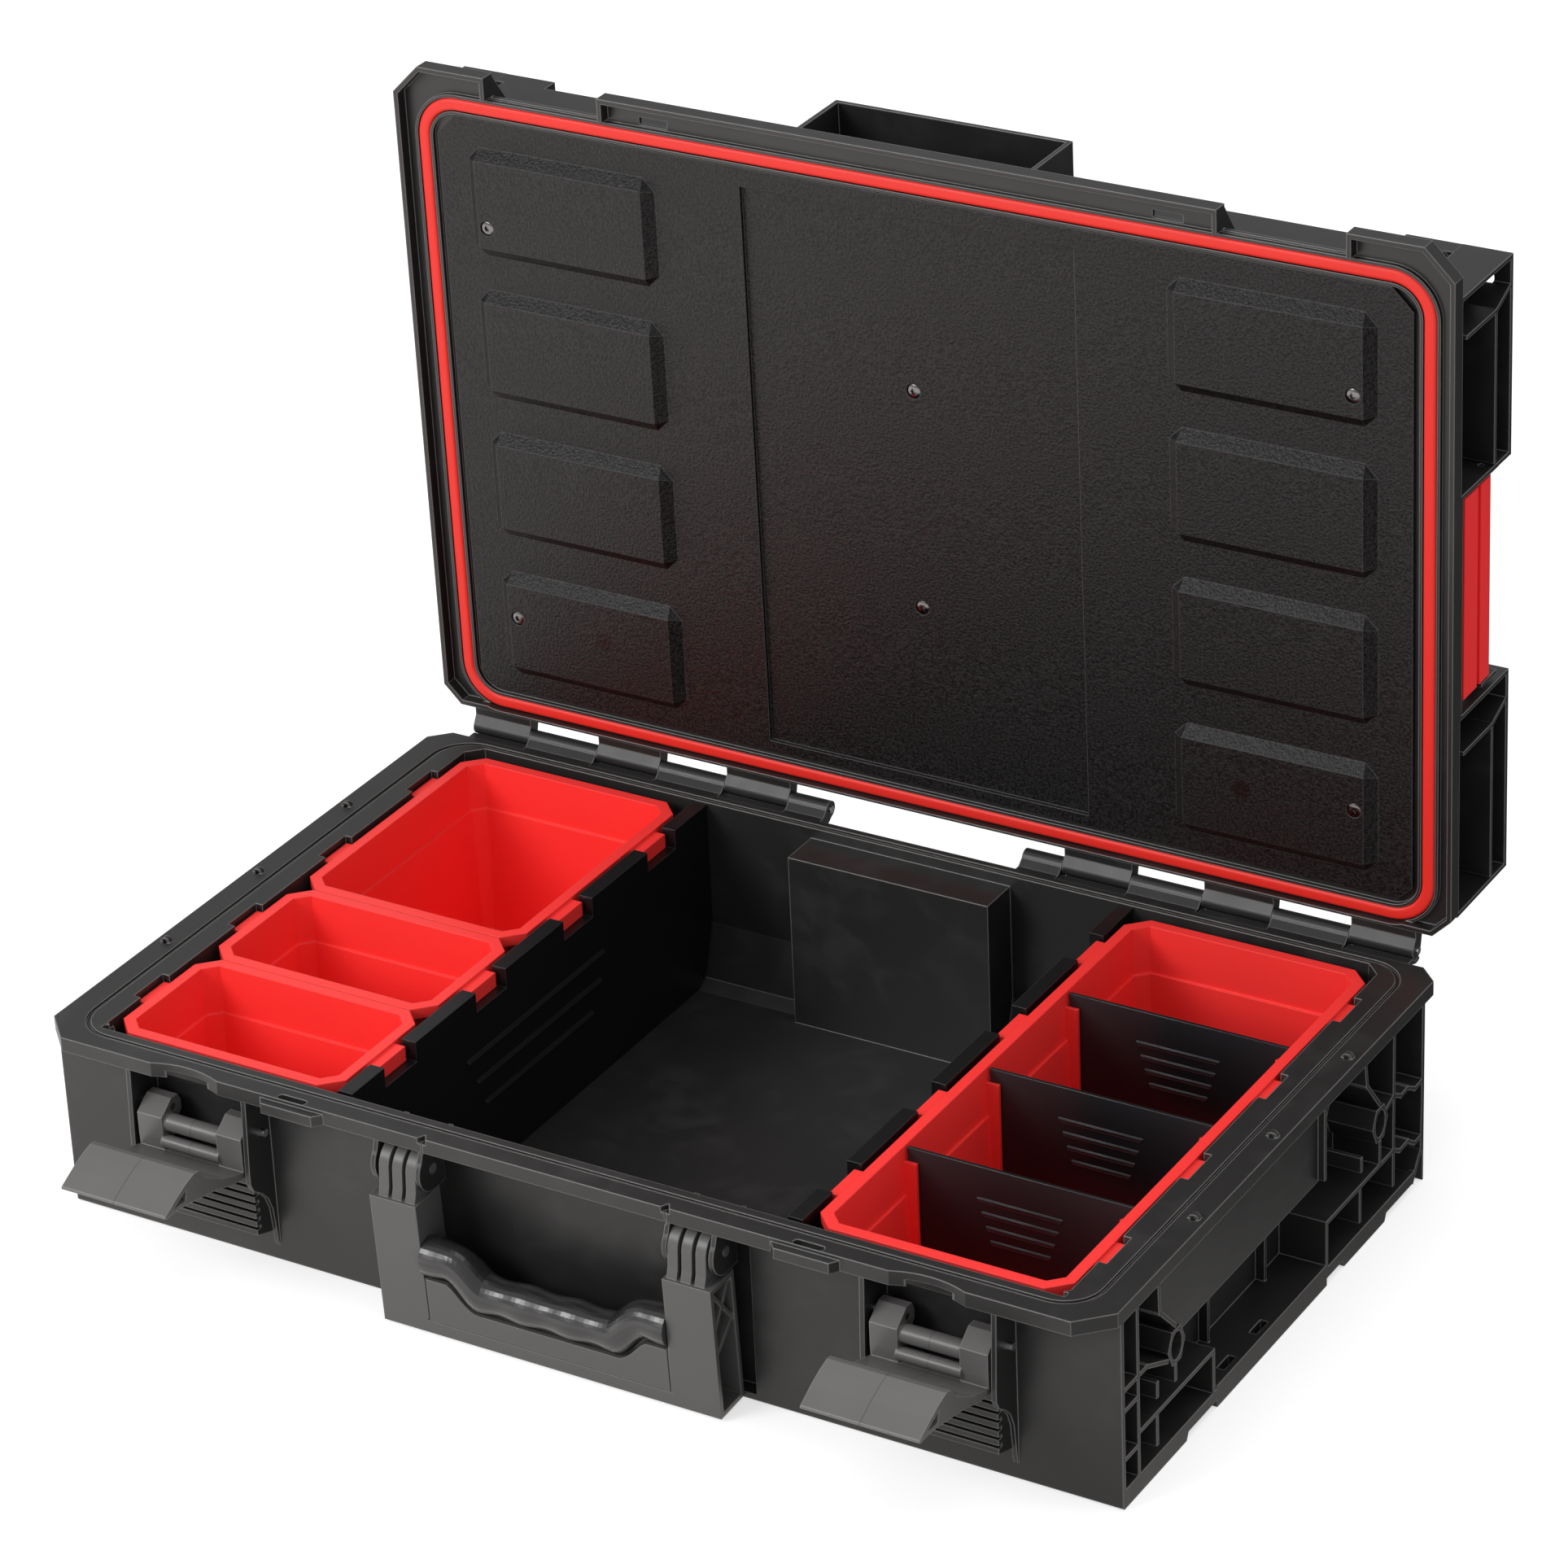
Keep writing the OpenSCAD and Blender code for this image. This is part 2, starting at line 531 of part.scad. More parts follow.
module hood() {
    // three-walled pocket on the front of the lid, open to the front
    x = hood_x;
    for (s = [-1, 1]) along_x(s * x - 1.2, s * x + 1.2)
        polygon([[lid_wall_y + 1, lid_plate_z + 1], [hood_y, lid_plate_z + 1], [hood_y, lid_top], [lid_wall_y + 1, lid_top]]);
    span([-x, x], [hood_y, lid_wall_y + 1], [lid_top - 2.4, lid_top]);
}

module lid_shell() color(black) opened() difference() {
    union() {
        // flange with an outer skirt and the two walls of the seal's channel
        translate([0, 0, lid_plate_z]) linear_extrude(lid_plate_t) difference() {
            polygon(cut_rect([-hw, hw], [-lid_front, lid_back], corner_front, corner_back));
            polygon(cut_rect([8 - liner_x, liner_x - 8], [liner_y[0] + 6, liner_y[1] - 3], 8, 8));
        }
        difference() {
            translate([0, 0, lid_z0]) linear_extrude(lid_plate_z - lid_z0 + 1)
                polygon(cut_rect([-hw, hw], [-lid_front, lid_back], corner_front, corner_back));
            translate([0, 0, lid_z0 - 1]) linear_extrude(20)
                polygon(inset_rect([-hw, hw], [-lid_front, lid_back], corner_front, corner_back, wall));
        }
        translate([0, 0, seal_z + 0.4]) linear_extrude(lid_plate_z - seal_z + 0.6) difference() {
            seal_ring(seal_w + 3.6);
            seal_ring(seal_w + 0.4);
        }
        // box above the flange
        difference() {
            translate([0, 0, lid_plate_z]) linear_extrude(lid_top - lid_plate_z) lid_wall_outline(0);
            translate([0, 0, lid_plate_z - 1]) linear_extrude(lid_top - lid_plate_z - wall + 1) lid_wall_outline(wall);
        }
        both() along_x(tub_x - 1, hw) lid_side_2d();
        // housing tops
        both() span([tub_x - 30, hw], [lid_wall_y, clip_y[0] - 3], [closed_h - wall, closed_h]);
        both() span([tub_x - 30, hw], [clip_y[1] + 7, lid_back - 10], [closed_h - wall, closed_h]);
        both() span([tub_x - 30, tub_x - 27], [lid_wall_y, clip_y[0] - 3], [lid_top - 1, closed_h - 1]);
        both() span([tub_x - 30, tub_x - 27], [clip_y[1] + 7, lid_back - 10], [lid_top - 1, closed_h - 1]);
        both() for (y = [lid_wall_y, clip_y[0] - 3 - wall, clip_y[1] + 7, lid_back - 10 - wall])
            span([tub_x - 30, tub_x + 1], [y, y + wall], [lid_top - 1, closed_h - 1]);
        both() for (l = lid_leaves) lid_leaf(l[0], l[1] - gap);
        hood();
        // posts for the liner's screws
        for (s = screws) translate([s[0], s[1], liner_z + liner_t + 3]) cylinder(r = 4, h = lid_top - liner_z - liner_t - 4);
        // gussets at the ends of the latch recesses
        both() for (d = [-1, 1]) along_x(latch_x + d * 34.6 - 1.2, latch_x + d * 34.6 + 1.2)
            polygon([[catch_y, lid_z0], [1 - lid_front, lid_z0], [1 - lid_front, lid_plate_z + 2],
                [lid_wall_y + 1, lid_plate_z + 20], [lid_wall_y + 1, lid_plate_z + 1], [catch_y, lid_plate_z + 1]]);
        // lugs for the side clips
        both() for (y = [clip_y[0] - 2.5, clip_y[1] + 0.5 + gap])
            span([tub_x - 1, hw - 1], [y, y + 2], [clip_axis[1] - 8, closed_h - 12]);
    }
    // channel of the seal
    translate([0, 0, lid_z0 - 1]) linear_extrude(lid_plate_z - lid_z0 + 1) seal_ring(seal_w + 0.4);
    // the flange stays back between the gussets, so that the latch hooks over it
    both() span([latch_x - 33.4, latch_x + 33.4], [-lid_front - 1, catch_y], [lid_z0 - 1, closed_h + 1]);
    // padlock slots
    both() span([lock_x - 8, lock_x + 8], [-rim_front + 0.5, -rim_front + 4.5], [lid_z0 - 1, lid_plate_z + 8]);
    // holes in the housing tops
    both() translate([hw - 14, lid_wall_y + 13, closed_h - 4]) cylinder(r = 5.5, h = 6);
    for (s = screws) translate([s[0], s[1], liner_z]) cylinder(r = 1.5, h = 20);
    both() rod_x(base_leaves[0][0] - 7, hw - 12.5, hinge_y, hinge_z, hinge_pin_d / 2 + pin_fit);
    both() translate([clip_axis[0], clip_y[0] - 4, clip_axis[1]]) rotate([-90, 0, 0])
        cylinder(r = clip_pin_r + pin_fit, h = clip_y[1] - clip_y[0] + 8);
}

// raised pad with cut corners and sloping edges
module pad(x, y) intersection() {
    along_y(y[0], y[1]) polygon([[x[0], liner_z + e], [x[0] + pad_h, liner_z - pad_h], [x[1] - pad_h, liner_z - pad_h],
        [x[1], liner_z + e]]);
    along_x(x[0], x[1]) polygon([[y[0], liner_z + e], [y[0] + pad_h, liner_z - pad_h], [y[1] - pad_h, liner_z - pad_h],
        [y[1], liner_z + e]]);
    translate([0, 0, liner_z - pad_h - 1]) linear_extrude(pad_h + 2) polygon(cut_rect(x, y, 7, 7));
}

module lid_liner() color(dark) opened() difference() {
    union() {
        translate([0, 0, liner_z]) linear_extrude(liner_t)
            polygon(cut_rect([-liner_x, liner_x], liner_y, 11, 8));
        both() for (y = pads_y) pad(pads_x, y);
        span([-recess_lid[0] - 2, recess_lid[0] + 2], [recess_lid[1] - 2, recess_lid[2] + 2],
            [liner_z, liner_z + liner_t + 2.2]);
        // blocks behind the pads that the screws clamp on the posts
        for (s = screws) translate([s[0], s[1], liner_z]) cylinder(r = 4, h = liner_t + 3);
    }
    span([-recess_lid[0], recess_lid[0]], [recess_lid[1], recess_lid[2]], [liner_z - 1, liner_z + 2.2]);
    for (s = screws) {
        z = s[0] == 0 ? liner_z + 2.2 : liner_z - pad_h;
        translate([s[0], s[1], z - 1]) cylinder(r = 3.9, h = 2.9);
        translate([s[0], s[1], z - 1]) cylinder(r = 1.6, h = 30);
    }
}

module lid_seal() color(red) opened()
    translate([0, 0, seal_z]) linear_extrude(lid_plate_z - seal_z) seal_ring(seal_w);

module liner_screws() color(steel) opened() for (s = screws) {
    z = s[0] == 0 ? liner_z + 2.2 : liner_z - pad_h;
    translate([s[0], s[1], z + 0.3]) cylinder(r = 3.6, h = 1.6);
    translate([s[0], s[1], z + 1]) cylinder(r = 1.5, h = liner_z + 18 - z);
}

// ---- side clips ------------------------------------------------------------------

module side_clip() color(red) opened() difference() {
    union() {
        span([hw - 9, hw - 6], clip_y + [gap, -gap], [clip_z[0], clip_axis[1]]);
        span([hw - 7, hw - 1], clip_y + [gap, -gap], [clip_z[0], clip_z[0] + 15]);
        span([hw - 7, hw - 1], clip_y + [gap, -gap], [clip_z[0] + 18, clip_axis[1]]);
        translate([clip_axis[0], clip_y[0] + gap, clip_axis[1]]) rotate([-90, 0, 0])
            cylinder(r = 4.5, h = clip_y[1] - clip_y[0] - 2 * gap);
    }
    translate([clip_axis[0], clip_y[0] - 1, clip_axis[1]]) rotate([-90, 0, 0])
        cylinder(r = clip_pin_r + pin_fit, h = clip_y[1] - clip_y[0] + 2);
}

module clip_pin() color(steel) opened()
    translate([clip_axis[0], clip_y[0] - 2.6, clip_axis[1]]) rotate([-90, 0, 0])
        cylinder(r = clip_pin_r, h = clip_y[1] - clip_y[0] + 5.2);

// ---- latches ---------------------------------------------------------------------

// one lever, drawn hanging open about its pin
module lever() color(black) difference() {
    translate([0, latch_y, latch_z]) {
        for (s = [-1, 1]) along_x(s < 0 ? -lever_hw : ear_in, s < 0 ? -ear_in : lever_hw) polygon([[-9.5, -21],
            [-9.9, -14], [-9.9, -1.5], [-1, 5.2], [4, 5.2], [6.3, 1], [6.3, -4], [1, -10], [-3, -21]]);
        // bars between the ears
        rod_x(-ear_in - 1, ear_in + 1, -4.6, -5.8, 4.6);
        rod_x(-ear_in - 1, ear_in + 1, -8, -15, 3.4);
        // flap: arched top sheet, side plates under it and the lower sheet at its lip
        along_x(-lever_hw, lever_hw) polygon([[-7.8, -19], [-10, -19.3], [-25.5, -14], [-38.3, -6.2], [-44, 0.4],
            [-47.5, 1], [-54, -0.8], [-62, -4.2], [-72, -9.4], [-72.6, -10.6], [-71, -11.3], [-61, -7], [-53, -3.6],
            [-47.5, -1.8], [-44.5, -2.4], [-39.5, -8.6], [-27, -16.4], [-12, -22.4], [-7.8, -22.4]]);
        for (s = [-1, 1]) along_x(s < 0 ? -lever_hw : lever_hw - 2, s < 0 ? 2 - lever_hw : lever_hw) polygon([[-12, -21],
            [-9, -22.4], [-18, -21.5], [-32, -16.8], [-56.5, -11.8], [-54, -3], [-47.5, -1], [-44, -1.5], [-39, -7.5]]);
        along_x(-lever_hw, lever_hw) polygon([[-55, -12], [-64.5, -10.9], [-71.5, -11.2], [-71, -9.8], [-64, -9.2],
            [-55, -10.2]]);
    }
    for (s = [-1, 1]) rod_x(s < 0 ? -lever_hw - 1 : ear_in - 1, s < 0 ? 1 - ear_in : lever_hw + 1, latch_y, latch_z,
        latch_pin_d / 2 + pin_fit);
}

module latch(s) translate([s * latch_x, 0, 0]) lever();

// ---- handle ----------------------------------------------------------------------

// the handle hangs a little towards the case: y runs back from its front face, z up to the posts' top
module hanging() translate([0, post_front, post_top]) rotate([post_lean, 0, 0]) children();

// centre height of the grip, low in the middle and higher at both ends
function ease(t) = t <= 0 ? 0 : t >= 1 ? 1 : t * t * (3 - 2 * t);
function grip_z(x) = grip_low + grip_rise * ease((abs(x) - 34) / 22);
function grip_slope(x) = (grip_z(x + 0.1) - grip_z(x - 0.1)) / 0.2;
grip_n = 54;                         // stations along half the grip, and points round it
grip_round = 28;
grip_l = post_in - gap;
function grip_x(i) = grip_l * (2 * i / grip_n - 1);

// outline of a plate between the posts that ends d above the grip's centre line
module under_grip(l, d) polygon(concat([[-l, wall - post_h], [l, wall - post_h], [l, grip_z(l) + d]],
    [for (i = [grip_n:-1:0]) [grip_x(i), grip_z(grip_x(i)) + d * sqrt(1 + pow(grip_slope(grip_x(i)), 2))]],
    [[-l, grip_z(l) + d]]));

module handle_post() hanging() difference() {
    span([post_in, post_in + post_w], [0, post_d], [-post_h, 0]);
    // channel open to the outside, with crossed ribs in its upper half
    difference() {
        span([post_in + wall, post_in + post_w + 1], [wall, post_d - wall], [wall - post_h, -wall]);
        along_x(post_in, post_in + post_w - 1) {
            rib([wall - 1, -2], [post_d - wall + 1, -27], 2);
            rib([post_d - wall + 1, -2], [wall - 1, -27], 2);
            rib([post_d - wall + 1, -25], [wall - 1, -39], 2);
        }
    }
}

module handle_frame() color(black) difference() {
    union() {
        both() handle_post();
        hanging() {
            // front plate under the grip, core inside the grip, floor
            along_y(0, wall) under_grip(post_in + 1, -grip_r - 0.9);
            along_y(grip_in - core_t / 2, grip_in + core_t / 2) under_grip(post_in + 1, grip_r / 3);
            span([-post_in - 1, post_in + 1], [0, post_d], [-post_h, wall - post_h + e]);
        }
        // knuckles between the base's lugs
        both() for (k = knuckles) {
            rod_x(k, k + knuckle_w, handle_y, handle_z, knuckle_r);
            along_x(k, k + knuckle_w) polygon([[handle_y - knuckle_r, handle_z], [handle_y - knuckle_r - 0.6, 78.5],
                [post_front + 1.5, post_top - 1], [handle_y + 5, post_top - 1], [handle_y + knuckle_r * 0.7, handle_z - knuckle_r * 0.7]]);
        }
    }
    both() rod_x(lugs_x[0] - 1, lugs_x[1] + lug_t + 1, handle_y, handle_z, handle_pin_d / 2 + pin_fit);
    // line round the front plate
    hanging() {
        span([-post_in - 0.4, post_in + 0.4], [-1, 0.8], [7 - post_h, 7.9 - post_h]);
        both() span([post_in - 1.2, post_in - 0.3], [-1, 0.8], [7 - post_h, grip_low + 9]);
    }
}

module handle_grip() color(dark) hanging() difference() {
    // soft bar with finger swells that follows the grip's centre line
    polyhedron(
        points = [for (i = [0:grip_n], j = [0:grip_round - 1])
            let (x = grip_x(i), a = 360 * j / grip_round, r = grip_r - 0.6 * cos(360 * x / swell_pitch))
            [x, grip_in + r * cos(a), grip_z(x) + r * sqrt(1 + pow(grip_slope(x), 2)) * sin(a)]],
        faces = concat([[for (j = [0:grip_round - 1]) j]],
            [[for (j = [grip_round - 1:-1:0]) grip_n * grip_round + j]],
            [for (i = [0:grip_n - 1], j = [0:grip_round - 1]) let (k = (j + 1) % grip_round)
                [i * grip_round + j, (i + 1) * grip_round + j, (i + 1) * grip_round + k, i * grip_round + k]]));
    // slot for the core
    along_y(grip_in - core_t / 2 - gap, grip_in + core_t / 2 + gap) under_grip(grip_l + 1, grip_r / 3 + gap);
}

base_shell();
mirror([1, 0, 0]) partition();  // partition_left
partition();  // partition_right
latch_pin(-1);  // latch_pin_left
latch_pin(1);  // latch_pin_right
handle_pin(-1);  // handle_pin_left
handle_pin(1);  // handle_pin_right
hinge_pin(-1);  // hinge_pin_left
hinge_pin(1);  // hinge_pin_right
lid_shell();
lid_liner();
lid_seal();
liner_screws();
mirror([1, 0, 0]) clip_pin();  // clip_pin_left
clip_pin();  // clip_pin_right
mirror([1, 0, 0]) side_clip();  // side_clip_left
side_clip();  // side_clip_right
latch(-1);  // latch_left
latch(1);  // latch_right
handle_frame();
handle_grip();
bin_left(0, 1);  // bin_front
bin_left(1, 1);  // bin_middle
bin_left(2, 2);  // bin_back
bin_long();
divider(1);  // divider_front
divider(2);  // divider_middle
divider(3);  // divider_back
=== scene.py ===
from math import atan2, cos, pi, radians, sin

import bmesh
import bpy
from mathutils import Matrix, Vector


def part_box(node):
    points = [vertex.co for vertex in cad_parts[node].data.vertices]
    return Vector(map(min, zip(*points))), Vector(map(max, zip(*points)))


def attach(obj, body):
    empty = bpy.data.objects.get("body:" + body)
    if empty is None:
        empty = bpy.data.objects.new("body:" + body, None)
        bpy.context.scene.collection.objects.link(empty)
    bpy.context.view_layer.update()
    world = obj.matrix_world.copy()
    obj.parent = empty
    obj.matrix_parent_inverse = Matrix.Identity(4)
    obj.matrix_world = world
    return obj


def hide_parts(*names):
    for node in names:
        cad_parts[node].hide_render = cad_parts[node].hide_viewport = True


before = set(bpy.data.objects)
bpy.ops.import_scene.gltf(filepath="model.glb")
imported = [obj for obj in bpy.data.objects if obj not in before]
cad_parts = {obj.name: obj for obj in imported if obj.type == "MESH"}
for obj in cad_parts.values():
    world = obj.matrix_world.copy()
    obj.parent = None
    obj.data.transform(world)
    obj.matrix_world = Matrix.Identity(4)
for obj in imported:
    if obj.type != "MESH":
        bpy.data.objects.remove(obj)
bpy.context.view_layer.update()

# ---- Camera ------------------------------------------------------------------
# A long lens stands in front and to the right, and looks down on the open case.
# Its place and turn come from the rim's corners, the lid's outline and the
# hinge line.

CAMERA_AT = (1.31418, -2.08728, 1.52023)
CAMERA_ROUND = radians(31.7455)
CAMERA_DOWN = radians(27.7232)
CAMERA_ROLL = radians(-2.6162)
SENSOR_MM, LENS_MM = 36.0, 133.95
SHIFT_X, SHIFT_Y = 0.003557, -0.004084
FARTHEST = 30.0

lens = bpy.data.cameras.new("camera")
lens.sensor_width = SENSOR_MM
lens.lens = LENS_MM
lens.shift_x = SHIFT_X
lens.shift_y = SHIFT_Y
lens.clip_end = FARTHEST
camera = bpy.data.objects.new("camera", lens)
bpy.context.scene.collection.objects.link(camera)
back = Vector((sin(CAMERA_ROUND) * cos(CAMERA_DOWN), -cos(CAMERA_ROUND) * cos(CAMERA_DOWN),
               sin(CAMERA_DOWN)))
level = Vector((cos(CAMERA_ROUND), sin(CAMERA_ROUND), 0.0))
upright = back.cross(level)
right = level * cos(CAMERA_ROLL) + upright * sin(CAMERA_ROLL)
up = upright * cos(CAMERA_ROLL) - level * sin(CAMERA_ROLL)
camera.matrix_world = Matrix.Translation(CAMERA_AT) @ Matrix((right, up, back)).transposed().to_4x4()
bpy.context.scene.camera = camera

# ---- Base shell --------------------------------------------------------------
# The tub of the case: black polypropylene, injection moulded in one shot with
# its ribbed sides, hinge barrels and latch cheeks. The tool leaves a fine spark
# texture, and the corners carry a small radius that catches the light; a painted
# highlight along them also lightens their colour.


class Port:
    """A shader socket that Python's own arithmetic works on."""

    def __init__(self, tree, socket=None):
        self.tree, self.socket = tree, socket

    def node(self, kind, settings=None, inputs=None, out=0):
        """One output of a new node, whose settings are set before its sockets."""
        new = self.tree.nodes.new("ShaderNode" + kind)
        for name, value in (settings or {}).items():
            setattr(new, name, value)
        for name, value in (inputs or {}).items():
            if isinstance(value, Port):
                self.tree.links.new(value.socket, new.inputs[name])
            else:
                new.inputs[name].default_value = value
        return Port(self.tree, new.outputs[out]) if new.outputs else None

    def maths(self, operation, *values):
        return self.node("Math", {"operation": operation}, dict(enumerate(values)))

    def clamp(self):
        return self.node("Clamp", inputs={0: self})

    def __add__(self, other):
        return self.maths("ADD", self, other)

    def __sub__(self, other):
        return self.maths("SUBTRACT", self, other)

    def __rsub__(self, other):
        return self.maths("SUBTRACT", other, self)

    def __mul__(self, other):
        return self.maths("MULTIPLY", self, other)

    __radd__ = __add__
    __rmul__ = __mul__


def emptied(block):
    """A port into the node tree of a new material or world, with nothing in it."""
    block.use_nodes = True
    block.node_tree.nodes.clear()
    return Port(block.node_tree)


def blended(port, amount, low, high):
    """The colour low where amount is 0 and high where it is 1."""
    return port.node("Mix", {"data_type": "RGBA"}, {0: amount, 6: low, 7: high}, out=2)


def shade(colour, factor):
    """A colour made lighter or darker, with the alpha that a colour socket wants."""
    return tuple(min(1.0, channel * factor) for channel in colour[:3]) + (1.0,)


# how the patterns of the moulded plastic lie and show, with scales in repeats per metre
CLOUD_SCALE, SMEAR_SCALE = 14.0, 55.0
CORNER_GAIN, HIGHLIGHT_SHOW, CORNER_ROUGH = 9.0, 0.8, 0.04
SMEAR_ROUGH = 0.12
SCUFF_GAIN, SCUFF_LIGHT = 3.0, 2.6
SPECKLE_GAIN = 4.0
MARK_R, MARK_CRISP, MARK_SHOW = 0.0050, 4000.0, 0.9
MARK_PAINTED_DARK = (0.007, 0.001, 0.001, 1.0)
SEAM_W, SEAM_CRISP, SEAM_SHOW, SEAM_SHADE = 0.0004, 6000.0, 0.6, 0.45


def moulded(name, colour, roughness, grain_mm, grain_depth, edge, edge_highlight, cloud=0.10, speckle=0.0,
            scuff=0.0, specular=0.5, coat=0.0, marks=(), seams=()):
    """Injection-moulded plastic: a spark-eroded grain, faint flow clouding, and worn corners that are
    rougher and carry a painted highlight.

    The grain's width and depth and the edge's radius are in millimetres.
    At each of marks, x and z, an ejector pin left a smooth disc on a face turned to -Y; its darkness is
    painted, standing in for the sheen its smoother face lacks.
    At each of seams, an x, the halves of the tool left a fine parting line.
    """
    material = bpy.data.materials.new(name)
    port = emptied(material)
    place = port.node("TexCoord", out=3)
    rounded = port.node("Bevel", {"samples": 6}, {"Radius": edge / 1000})
    flat = port.node("NewGeometry", out=3)
    corner = 1.0 - port.node("VectorMath", {"operation": "DOT_PRODUCT"}, {0: rounded, 1: flat}, out=1)
    corner = (corner * CORNER_GAIN).clamp()
    clouds = port.node("TexNoise", inputs={"Vector": place, "Scale": CLOUD_SCALE, "Detail": 3.0})
    pores = port.node("TexNoise", inputs={"Vector": place, "Scale": 1000 / grain_mm, "Detail": 2.0,
                                          "Roughness": 0.6})
    smears = port.node("TexNoise", inputs={"Vector": place, "Scale": SMEAR_SCALE, "Detail": 4.0,
                                           "Distortion": 0.6})
    body = blended(port, clouds, shade(colour, 1.0 - cloud), shade(colour, 1.0 + cloud))
    if scuff:
        worn = ((smears * clouds * 2.0 - 0.5) * SCUFF_GAIN).clamp()
        body = blended(port, worn * scuff, body, shade(colour, SCUFF_LIGHT))
    if speckle:
        spots = ((pores - 0.5) * SPECKLE_GAIN + 0.5).clamp()
        pale = blended(port, 0.5, body, shade(colour, 1.0 + 2.0 * speckle))
        body = blended(port, spots, shade(colour, 1.0 - speckle), pale)
    # painted highlight: the colour is lightened along the rounded edges, where the light catches them
    body = blended(port, corner * HIGHLIGHT_SHOW, body, shade(colour, edge_highlight))
    if marks:
        across = port.node("VectorMath", {"operation": "MULTIPLY"}, {0: place, 1: (1.0, 0.0, 1.0)})
        discs = 0.0
        for x, z in marks:
            away = port.node("VectorMath", {"operation": "DISTANCE"}, {0: across, 1: (x, 0.0, z)}, out=1)
            discs = ((MARK_R - away) * MARK_CRISP).clamp() + discs
        # painted reflection: the ejector discs are darkened, standing in for the sheen their smoother face
        # lacks
        body = blended(port, discs.clamp() * MARK_SHOW, body, MARK_PAINTED_DARK)
    for x in seams:
        aside = port.maths("ABSOLUTE", port.node("SeparateXYZ", inputs={0: place}) - x)
        line = ((SEAM_W - aside) * SEAM_CRISP).clamp()
        body = blended(port, line * SEAM_SHOW, body, shade(colour, SEAM_SHADE))
    relief = port.node("Bump", inputs={"Strength": 0.6, "Distance": grain_depth / 1000, "Height": pores,
                                       "Normal": rounded})
    dullness = (roughness - SMEAR_ROUGH / 2 + smears * SMEAR_ROUGH + corner * CORNER_ROUGH).clamp()
    shader = port.node("BsdfPrincipled", inputs={
        "Base Color": body, "Roughness": dullness, "Normal": relief, "Specular IOR Level": specular,
        "Coat Weight": coat, "Coat Roughness": 0.25})
    port.node("OutputMaterial", inputs={"Surface": shader})
    return material


def dress(material, *nodes):
    """The CAD node keeps its shape and takes this finish on all its slots."""
    for node in nodes:
        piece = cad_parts[node]
        if not piece.data.materials:
            piece.data.materials.append(material)
        for slot in piece.material_slots:
            slot.material = material


CASE_BLACK = (0.0185, 0.0178, 0.0175)
case_plastic = moulded("case_plastic", CASE_BLACK, 0.40, grain_mm=0.7, grain_depth=0.03, edge=0.9,
                       edge_highlight=14.6, scuff=0.32)
dress(case_plastic, "base_shell")

# ---- Partitions --------------------------------------------------------------
# Loose inner walls of the same black, from a smoother tool, so that they look a
# little glossier than the shell. Their colour is set darker than the shell's, as
# painted shade inside the tub.

INSERT_BLACK_SHADED = (0.006, 0.006, 0.0065)
insert_plastic = moulded("insert_plastic", INSERT_BLACK_SHADED, 0.34, grain_mm=1.2, grain_depth=0.015, edge=0.6,
                         edge_highlight=7.0, specular=0.4)
dress(insert_plastic, "partition_left", "partition_right")

# ---- Dividers ----------------------------------------------------------------
# Three glossy black plates that slide into the long bin. Each is moulded with four
# raised bars on its front, the lower ones shorter, and all its edges are broken.

DIVIDER_BLACK = (0.004, 0.004, 0.0045)
BARS = 4
BAR_DROP, BAR_PITCH = 0.0170, 0.0073
BAR_HALF, BAR_TAPER = 0.0225, 0.0022
BAR_H, BAR_OUT = 0.0021, 0.0008
EDGE_BREAK = 0.00035
FOOT_BAND = 1e-4
MERGE_DIST = 2e-7
FLAT_ANGLE, SHARP_ANGLE = radians(0.6), radians(32.0)
divider_plastic = moulded("divider_plastic", DIVIDER_BLACK, 0.24, grain_mm=1.5, grain_depth=0.01, edge=0.5,
                          edge_highlight=20.0, specular=0.35)


def merged(node, whole=True):
    """A bmesh copy of a CAD node with its loose triangles joined, and with whole its flat faces too."""
    work = bmesh.new()
    work.from_mesh(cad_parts[node].data)
    bmesh.ops.remove_doubles(work, verts=work.verts, dist=MERGE_DIST)
    if whole:
        bmesh.ops.dissolve_limit(work, angle_limit=FLAT_ANGLE, verts=work.verts, edges=work.edges)
    return work


def made(name, work, body, material, smooth=True):
    """An object at the origin from a finished bmesh, riding on a body of the model."""
    mesh = bpy.data.meshes.new(name)
    work.to_mesh(mesh)
    work.free()
    # a CAD node's stored normals no longer fit once its triangles are joined
    if "custom_normal" in mesh.attributes:
        mesh.attributes.remove(mesh.attributes["custom_normal"])
    mesh.materials.append(material)
    if smooth:
        mesh.shade_smooth()
        mesh.set_sharp_from_angle(angle=SHARP_ANGLE)
    else:
        mesh.shade_flat()
    piece = bpy.data.objects.new(name, mesh)
    bpy.context.scene.collection.objects.link(piece)
    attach(piece, body)
    return piece


def pulled(work, faces, way):
    """The corners and faces at the far end of faces drawn out along way."""
    grown = bmesh.ops.extrude_face_region(work, geom=faces)["geom"]
    corners = [item for item in grown if isinstance(item, bmesh.types.BMVert)]
    bmesh.ops.translate(work, verts=corners, vec=way)
    return corners, [item for item in grown if isinstance(item, bmesh.types.BMFace)]


def slab(work, outline, depth, bevel):
    """A plate with the given front corners, x, y and z, that is depth thick towards +Y."""
    front = work.faces.new([work.verts.new(corner) for corner in outline])
    backs, _ = pulled(work, [front], (0.0, depth, 0.0))
    edges = {edge for corner in list(front.verts) + backs for edge in corner.link_edges}
    bmesh.ops.bevel(work, geom=list(edges), offset=bevel, offset_type="OFFSET", affect="EDGES", segments=2,
                    profile=0.5, material=-1)


